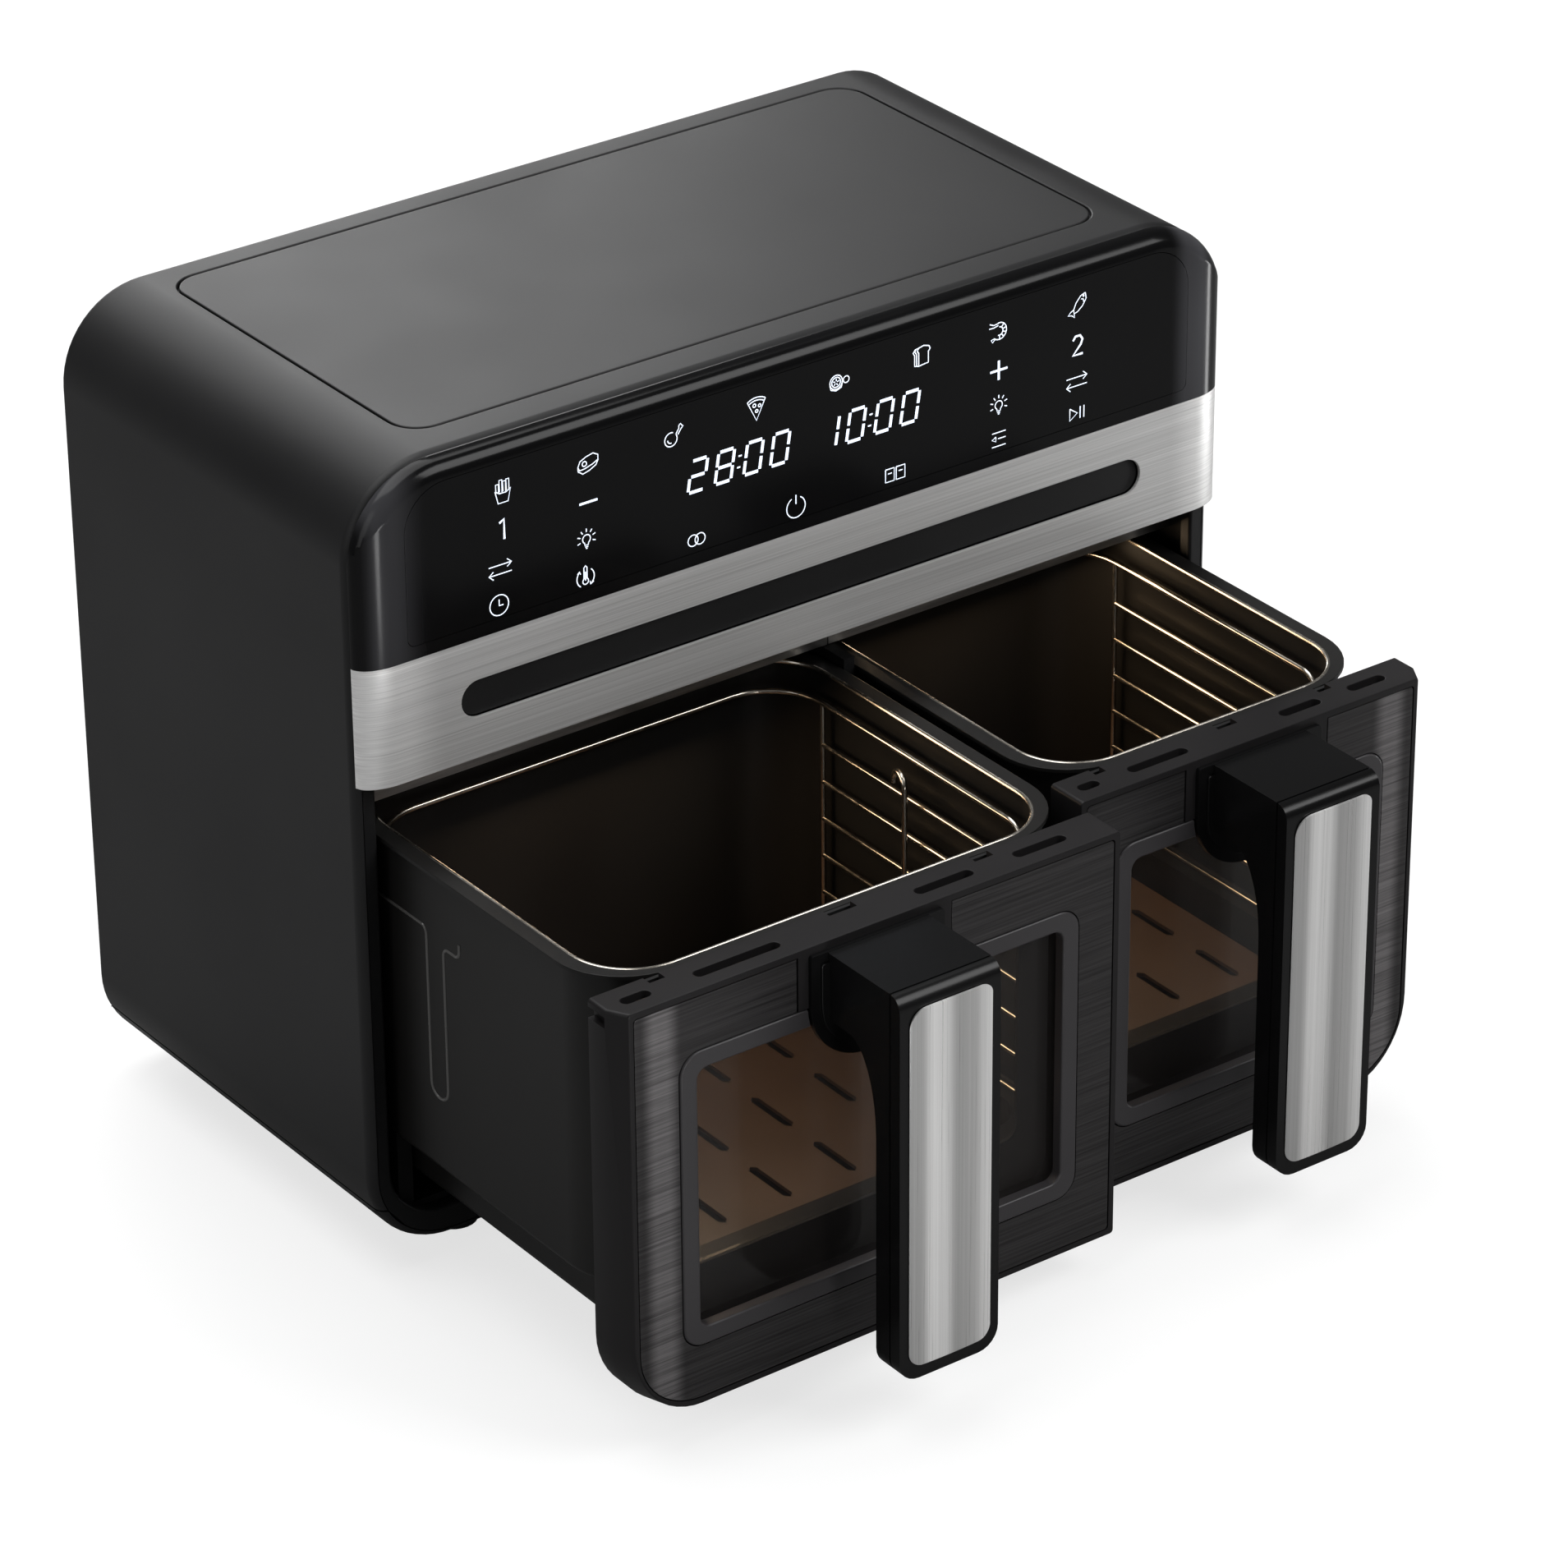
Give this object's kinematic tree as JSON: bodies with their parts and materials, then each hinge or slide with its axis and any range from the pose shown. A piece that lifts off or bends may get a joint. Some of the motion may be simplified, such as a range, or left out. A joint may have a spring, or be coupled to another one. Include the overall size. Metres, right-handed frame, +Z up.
{
  "type": "air fryer",
  "caption": "Dual-zone countertop air fryer with a touch panel, a brushed trim band, and windowed pull-out basket drawers with upright handles.",
  "frame": {"origin": "on the surface it stands on, under the middle of the box around the whole object with its drawers open as in the rest pose", "axes": "+Z up, front towards -Y, +X to the right seen from the front"},
  "size_m": [0.4, 0.4012, 0.336],
  "materials": {
    "satin_black": "satin",
    "charcoal": "matte",
    "gloss_black": "gloss",
    "panel_glass": "gloss",
    "steel": "brushed",
    "dark_steel": "brushed, dark tinted",
    "window_trim": "satin",
    "glass": "clear",
    "coated_steel": "satin coating",
    "nonstick": "nonstick coating",
    "plate_steel": "satin",
    "wire": "bright",
    "coil": "oxidised sheath",
    "motor": "satin",
    "board": "satin",
    "rubber": "matte"
  },
  "bodies": {
    "housing": {"back_left_foot": "rubber", "back_right_foot": "rubber", "base_tray": "satin_black", "bay_divider": "charcoal", "bay_floor": "charcoal", "control_head": "gloss_black", "cord_gland": "rubber", "display_board": "board", "front_frame": "charcoal", "front_left_foot": "rubber", "front_right_foot": "rubber", "left_coil_guard": "wire", "left_drawer_switch": "charcoal", "left_fan_motor": "motor", "left_heat_chamber": "plate_steel", "left_heating_coil": "coil", "left_inner_runner": "charcoal", "left_outer_runner": "charcoal", "outer_shell": "satin_black", "power_board": "board", "rear_cover": "satin_black", "right_coil_guard": "wire", "right_drawer_switch": "charcoal", "right_fan_motor": "motor", "right_heat_chamber": "plate_steel", "right_heating_coil": "coil", "right_inner_runner": "charcoal", "right_outer_runner": "charcoal", "slot_inlay": "charcoal", "top_panel": "satin_black", "touch_panel": "panel_glass", "trim_band": "steel"},
    "left_drawer": {"left_basket": "coated_steel", "left_basket_bracket": "plate_steel", "left_drawer_frame": "charcoal", "left_fascia": "dark_steel", "left_handle": "gloss_black", "left_handle_insert": "steel", "left_inner_glass": "glass", "left_window_frame": "window_trim", "left_window_glass": "glass"},
    "left_plate": {"left_crisper_plate": "nonstick"},
    "left_rack": {"left_wire_rack": "wire"},
    "left_rotor": {"left_fan_shaft": "plate_steel", "left_convection_fan": "plate_steel", "left_cooling_fan": "charcoal"},
    "right_drawer": {"right_basket": "coated_steel", "right_basket_bracket": "plate_steel", "right_drawer_frame": "charcoal", "right_fascia": "dark_steel", "right_handle": "gloss_black", "right_handle_insert": "steel", "right_inner_glass": "glass", "right_window_frame": "window_trim", "right_window_glass": "glass"},
    "right_plate": {"right_crisper_plate": "nonstick"},
    "right_rack": {"right_wire_rack": "wire"},
    "right_rotor": {"right_fan_shaft": "plate_steel", "right_convection_fan": "plate_steel", "right_cooling_fan": "charcoal"}
  },
  "joints": [
    {"name": "left_drawer_slide", "type": "slide", "parent": "housing", "child": "left_drawer", "axis": [0, -1, 0], "range_m": [-0.141, 0.03]},
    {"name": "left_plate_lift", "type": "slide", "parent": "left_drawer", "child": "left_plate", "axis": [0, 0, 1], "range_m": [0, 0.12]},
    {"name": "left_rack_lift", "type": "slide", "parent": "left_drawer", "child": "left_rack", "axis": [0, 0, 1], "range_m": [0, 0.012]},
    {"name": "left_fan_spin", "type": "hinge", "parent": "housing", "child": "left_rotor", "pos_m": [-0.0845, 0.10925, 0.24], "axis": [0, 0, 1], "continuous": true},
    {"name": "right_drawer_slide", "type": "slide", "parent": "housing", "child": "right_drawer", "axis": [0, -1, 0], "range_m": [-0.116, 0.054]},
    {"name": "right_plate_lift", "type": "slide", "parent": "right_drawer", "child": "right_plate", "axis": [0, 0, 1], "range_m": [0, 0.12]},
    {"name": "right_rack_lift", "type": "slide", "parent": "right_drawer", "child": "right_rack", "axis": [0, 0, 1], "range_m": [0, 0.012]},
    {"name": "right_fan_spin", "type": "hinge", "parent": "housing", "child": "right_rotor", "pos_m": [0.1125, 0.10925, 0.24], "axis": [0, 0, 1], "continuous": true}
  ]
}
